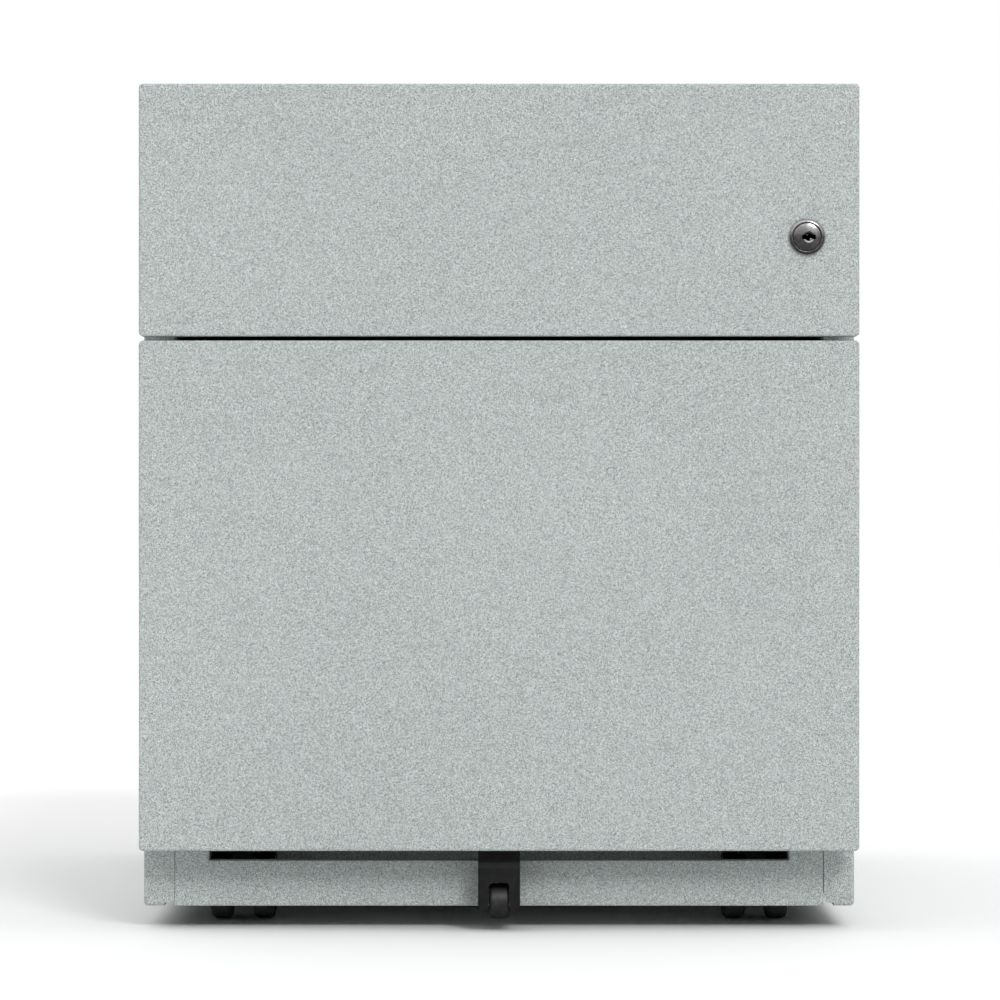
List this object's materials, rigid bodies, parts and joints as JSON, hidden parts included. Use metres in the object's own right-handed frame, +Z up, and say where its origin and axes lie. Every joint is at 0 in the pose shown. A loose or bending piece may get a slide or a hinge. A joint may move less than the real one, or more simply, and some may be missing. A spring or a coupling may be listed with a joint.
{
  "type": "mobile filing cabinet",
  "caption": "Low steel filing pedestal on twin-wheel castors: a stationery drawer over a hanging-file drawer, both handle-less, with a cylinder lock and an anti-tilt wheel.",
  "frame": {"origin": "on the floor, under the middle of the cabinet's footprint", "axes": "+Z up, -Y out of the drawer fronts, +X to the right seen from the front"},
  "size_m": [0.42, 0.5682, 0.495],
  "materials": {
    "powder_coat": "silver-grey fine-texture powder coat",
    "zinc_plate": "bright zinc plate",
    "black_plastic": "black moulded nylon, fine texture",
    "wheel_plastic": "hard black castor wheel plastic",
    "black_nickel": "polished black nickel"
  },
  "bodies": {
    "carcass": {"left_side_panel": "powder_coat", "right_side_panel": "powder_coat", "top_panel": "powder_coat", "back_panel": "powder_coat", "base_pan": "powder_coat", "front_plinth": "powder_coat", "left_front_upright": "powder_coat", "right_front_upright": "powder_coat", "left_rear_upright": "powder_coat", "right_rear_upright": "powder_coat", "top_left_slide_outer": "zinc_plate", "top_right_slide_outer": "zinc_plate", "file_left_slide_outer": "zinc_plate", "file_right_slide_outer": "zinc_plate", "front_left_castor_plate": "zinc_plate", "front_right_castor_plate": "zinc_plate", "rear_left_castor_plate": "zinc_plate", "rear_right_castor_plate": "zinc_plate"},
    "top_drawer": {"top_drawer_front": "powder_coat", "top_drawer_inner_front": "powder_coat", "top_drawer_tray": "powder_coat", "top_drawer_catch": "zinc_plate", "top_left_slide_inner": "zinc_plate", "top_right_slide_inner": "zinc_plate", "lock_nut": "zinc_plate", "lock_housing": "black_nickel"},
    "file_drawer": {"file_drawer_front": "powder_coat", "file_drawer_inner_front": "powder_coat", "file_drawer_tray": "powder_coat", "file_drawer_catch": "zinc_plate", "file_left_slide_inner": "zinc_plate", "file_right_slide_inner": "zinc_plate", "left_file_rail": "zinc_plate", "right_file_rail": "zinc_plate", "fifth_wheel_axle": "zinc_plate", "fifth_wheel_housing": "black_plastic"},
    "fifth_wheel_body": {"fifth_wheel": "wheel_plastic"},
    "top_left_slide_middle_body": {"top_left_slide_middle": "zinc_plate"},
    "top_right_slide_middle_body": {"top_right_slide_middle": "zinc_plate"},
    "file_left_slide_middle_body": {"file_left_slide_middle": "zinc_plate"},
    "file_right_slide_middle_body": {"file_right_slide_middle": "zinc_plate"},
    "lock_plug_body": {"lock_plug": "black_nickel", "lock_cam": "zinc_plate"},
    "lock_bar_body": {"lock_bar": "zinc_plate"},
    "front_left_castor": {"front_left_castor_hood": "black_plastic", "front_left_castor_axle": "zinc_plate"},
    "front_left_castor_left_wheel_body": {"front_left_castor_left_wheel": "wheel_plastic"},
    "front_left_castor_right_wheel_body": {"front_left_castor_right_wheel": "wheel_plastic"},
    "front_right_castor": {"front_right_castor_hood": "black_plastic", "front_right_castor_axle": "zinc_plate"},
    "front_right_castor_left_wheel_body": {"front_right_castor_left_wheel": "wheel_plastic"},
    "front_right_castor_right_wheel_body": {"front_right_castor_right_wheel": "wheel_plastic"},
    "rear_left_castor": {"rear_left_castor_hood": "black_plastic", "rear_left_castor_axle": "zinc_plate"},
    "rear_left_castor_left_wheel_body": {"rear_left_castor_left_wheel": "wheel_plastic"},
    "rear_left_castor_right_wheel_body": {"rear_left_castor_right_wheel": "wheel_plastic"},
    "rear_right_castor": {"rear_right_castor_hood": "black_plastic", "rear_right_castor_axle": "zinc_plate"},
    "rear_right_castor_left_wheel_body": {"rear_right_castor_left_wheel": "wheel_plastic"},
    "rear_right_castor_right_wheel_body": {"rear_right_castor_right_wheel": "wheel_plastic"}
  },
  "joints": [
    {"name": "top_drawer_slide", "type": "slide", "parent": "carcass", "child": "top_drawer", "axis": [0, -1, 0], "range_m": [0, 0.4]},
    {"name": "file_drawer_slide", "type": "slide", "parent": "carcass", "child": "file_drawer", "axis": [0, -1, 0], "range_m": [0, 0.45]},
    {"name": "top_left_slide_middle_travel", "type": "slide", "parent": "carcass", "child": "top_left_slide_middle_body", "axis": [0, -1, 0], "range_m": [0, 0.2]},
    {"name": "top_right_slide_middle_travel", "type": "slide", "parent": "carcass", "child": "top_right_slide_middle_body", "axis": [0, -1, 0], "range_m": [0, 0.2]},
    {"name": "file_left_slide_middle_travel", "type": "slide", "parent": "carcass", "child": "file_left_slide_middle_body", "axis": [0, -1, 0], "range_m": [0, 0.225]},
    {"name": "file_right_slide_middle_travel", "type": "slide", "parent": "carcass", "child": "file_right_slide_middle_body", "axis": [0, -1, 0], "range_m": [0, 0.225]},
    {"name": "lock_plug_turn", "type": "hinge", "parent": "top_drawer", "child": "lock_plug_body", "pos_m": [0.1793, -0.285, 0.4054], "axis": [0, -1, 0], "range_deg": [0, 90]},
    {"name": "lock_bar_lift", "type": "slide", "parent": "carcass", "child": "lock_bar_body", "axis": [0, 0, 1], "range_m": [0, 0.0099]},
    {"name": "fifth_wheel_spin", "type": "hinge", "parent": "file_drawer", "child": "fifth_wheel_body", "pos_m": [0, -0.268, 0.0175], "axis": [1, 0, 0], "continuous": true},
    {"name": "front_left_castor_swivel", "type": "hinge", "parent": "carcass", "child": "front_left_castor", "pos_m": [-0.154, -0.208, 0.04], "axis": [0, 0, 1], "continuous": true},
    {"name": "front_left_castor_left_wheel_spin", "type": "hinge", "parent": "front_left_castor", "child": "front_left_castor_left_wheel_body", "pos_m": [-0.154, -0.194, 0.02], "axis": [1, 0, 0], "continuous": true},
    {"name": "front_left_castor_right_wheel_spin", "type": "hinge", "parent": "front_left_castor", "child": "front_left_castor_right_wheel_body", "pos_m": [-0.154, -0.194, 0.02], "axis": [1, 0, 0], "continuous": true},
    {"name": "front_right_castor_swivel", "type": "hinge", "parent": "carcass", "child": "front_right_castor", "pos_m": [0.154, -0.208, 0.04], "axis": [0, 0, 1], "continuous": true},
    {"name": "front_right_castor_left_wheel_spin", "type": "hinge", "parent": "front_right_castor", "child": "front_right_castor_left_wheel_body", "pos_m": [0.154, -0.194, 0.02], "axis": [1, 0, 0], "continuous": true},
    {"name": "front_right_castor_right_wheel_spin", "type": "hinge", "parent": "front_right_castor", "child": "front_right_castor_right_wheel_body", "pos_m": [0.154, -0.194, 0.02], "axis": [1, 0, 0], "continuous": true},
    {"name": "rear_left_castor_swivel", "type": "hinge", "parent": "carcass", "child": "rear_left_castor", "pos_m": [-0.154, 0.236, 0.04], "axis": [0, 0, 1], "continuous": true},
    {"name": "rear_left_castor_left_wheel_spin", "type": "hinge", "parent": "rear_left_castor", "child": "rear_left_castor_left_wheel_body", "pos_m": [-0.154, 0.25, 0.02], "axis": [1, 0, 0], "continuous": true},
    {"name": "rear_left_castor_right_wheel_spin", "type": "hinge", "parent": "rear_left_castor", "child": "rear_left_castor_right_wheel_body", "pos_m": [-0.154, 0.25, 0.02], "axis": [1, 0, 0], "continuous": true},
    {"name": "rear_right_castor_swivel", "type": "hinge", "parent": "carcass", "child": "rear_right_castor", "pos_m": [0.154, 0.236, 0.04], "axis": [0, 0, 1], "continuous": true},
    {"name": "rear_right_castor_left_wheel_spin", "type": "hinge", "parent": "rear_right_castor", "child": "rear_right_castor_left_wheel_body", "pos_m": [0.154, 0.25, 0.02], "axis": [1, 0, 0], "continuous": true},
    {"name": "rear_right_castor_right_wheel_spin", "type": "hinge", "parent": "rear_right_castor", "child": "rear_right_castor_right_wheel_body", "pos_m": [0.154, 0.25, 0.02], "axis": [1, 0, 0], "continuous": true}
  ],
  "couplings": [
    {"joint": "top_left_slide_middle_travel", "follows": "top_drawer_slide", "ratio": 0.5},
    {"joint": "top_right_slide_middle_travel", "follows": "top_drawer_slide", "ratio": 0.5},
    {"joint": "file_left_slide_middle_travel", "follows": "file_drawer_slide", "ratio": 0.5},
    {"joint": "file_right_slide_middle_travel", "follows": "file_drawer_slide", "ratio": 0.5},
    {"joint": "lock_bar_lift", "follows": "lock_plug_turn", "m_per_rad": 0.0063022}
  ]
}
